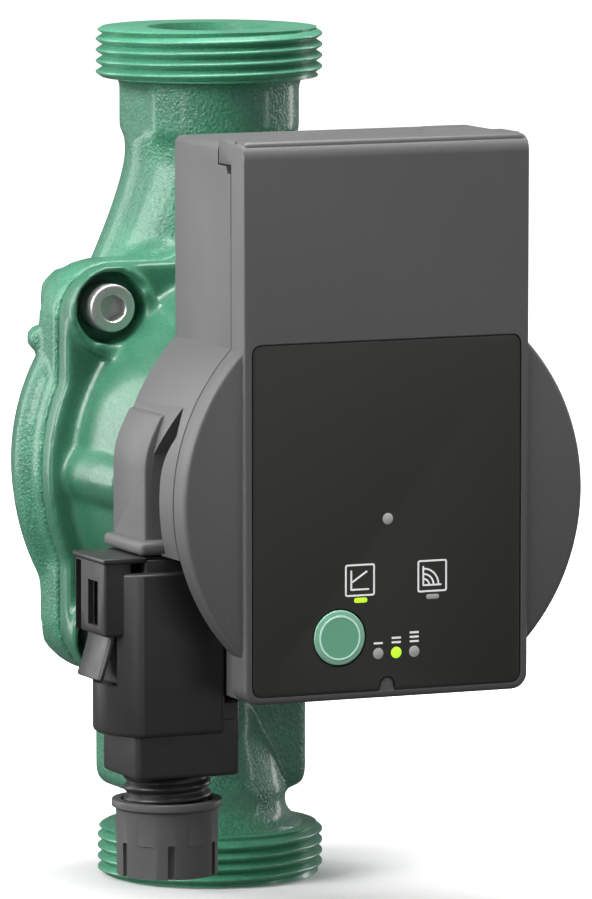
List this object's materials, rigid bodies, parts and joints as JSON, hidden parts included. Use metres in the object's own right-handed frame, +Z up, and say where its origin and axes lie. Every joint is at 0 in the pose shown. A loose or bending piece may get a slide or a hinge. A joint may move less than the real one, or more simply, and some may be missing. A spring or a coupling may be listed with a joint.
{
  "type": "circulator pump",
  "caption": "Wet-rotor heating circulator with threaded ports, flanged motor, electronics module with control panel, and a latched mains connector with a cable gland.",
  "frame": {"origin": "centre of the lower port's face, on the pipe axis", "axes": "+Z up the pipe, through the upper port; -Y out of the control panel; +X to the right, seen from the panel"},
  "size_m": [0.1051, 0.1151, 0.18],
  "materials": {
    "green_casting": "satin",
    "module_plastic": "fine moulded texture",
    "panel_film": "satin film",
    "button_plastic": "satin",
    "connector_plastic": "satin",
    "inner_plastic": "matt",
    "terminal_plastic": "matt",
    "screw_steel": "bright",
    "sheet_steel": "bright",
    "stator_steel": "laminated",
    "magnet": "sleeved",
    "copper": "enamelled",
    "contact_brass": "bright",
    "shaft_ceramic": "ground",
    "bearing_carbon": "ground",
    "impeller_plastic": "satin",
    "seal_rubber": "matt",
    "board": "lacquered",
    "capacitor_can": "sleeved",
    "lens": "clear"
  },
  "bodies": {
    "pump": {"pump_housing": "green_casting", "motor_housing": "green_casting", "module_base": "module_plastic", "module_cover": "module_plastic", "control_panel": "panel_film", "contact_carrier": "inner_plastic", "key_switch": "inner_plastic", "power_module": "inner_plastic", "flange_screw_1": "screw_steel", "flange_screw_2": "screw_steel", "flange_screw_3": "screw_steel", "flange_screw_4": "screw_steel", "module_screw_1": "screw_steel", "module_screw_2": "screw_steel", "module_screw_3": "screw_steel", "module_screw_4": "screw_steel", "wear_ring": "sheet_steel", "bearing_plate": "sheet_steel", "rotor_can": "sheet_steel", "stator_core": "stator_steel", "stator_coil_1": "copper", "stator_coil_2": "copper", "stator_coil_3": "copper", "stator_coil_4": "copper", "stator_coil_5": "copper", "stator_coil_6": "copper", "line_choke": "copper", "winding_leads": "copper", "socket_blade_1": "contact_brass", "socket_blade_2": "contact_brass", "socket_blade_3": "contact_brass", "front_bearing": "bearing_carbon", "rear_bearing": "bearing_carbon", "housing_gasket": "seal_rubber", "module_seal": "seal_rubber", "circuit_board": "board", "main_capacitor": "capacitor_can", "status_lens_1": "lens", "mode_lens_1": "lens", "mode_lens_2": "lens", "level_lens_1": "lens", "level_lens_2": "lens", "level_lens_3": "lens"},
    "rotor": {"rotor_shaft": "shaft_ceramic", "rotor_magnet": "magnet", "impeller": "impeller_plastic", "thrust_washer": "seal_rubber"},
    "button": {"operating_button": "button_plastic"},
    "connector": {"connector_body": "connector_plastic", "connector_seal": "seal_rubber", "terminal_block": "terminal_plastic", "gland_seal": "seal_rubber"},
    "latch": {"connector_latch": "connector_plastic"},
    "clamp_ring": {"gland_ring": "connector_plastic"},
    "gland_nut": {"gland_nut": "connector_plastic"}
  },
  "joints": [
    {"name": "rotor_spin", "type": "hinge", "parent": "pump", "child": "rotor", "pos_m": [0, 0, 0.09], "axis": [0, -1, 0], "continuous": true},
    {"name": "button_press", "type": "slide", "parent": "pump", "child": "button", "axis": [0, 1, 0], "range_m": [0, 0.0008], "stiffness_N_per_m": 600, "springref_m": -0.0005},
    {"name": "connector_pull", "type": "slide", "parent": "pump", "child": "connector", "axis": [0, 0, -1], "range_m": [0, 0.018]},
    {"name": "latch_press", "type": "hinge", "parent": "connector", "child": "latch", "pos_m": [-0.0523, -0.0665, 0.07], "axis": [0, -1, 0], "range_deg": [0, 5], "stiffness_Nm_per_rad": 0.1, "springref_deg": -1.72},
    {"name": "nut_travel", "type": "slide", "parent": "connector", "child": "clamp_ring", "axis": [0, 0, -1], "range_m": [0, 0.0045]},
    {"name": "nut_turn", "type": "hinge", "parent": "clamp_ring", "child": "gland_nut", "pos_m": [-0.0381, -0.0665, 0.02], "axis": [0, 0, -1], "range_deg": [0, 1080]}
  ],
  "couplings": [
    {"joint": "nut_turn", "follows": "nut_travel", "rad_per_m": 4188.8}
  ]
}
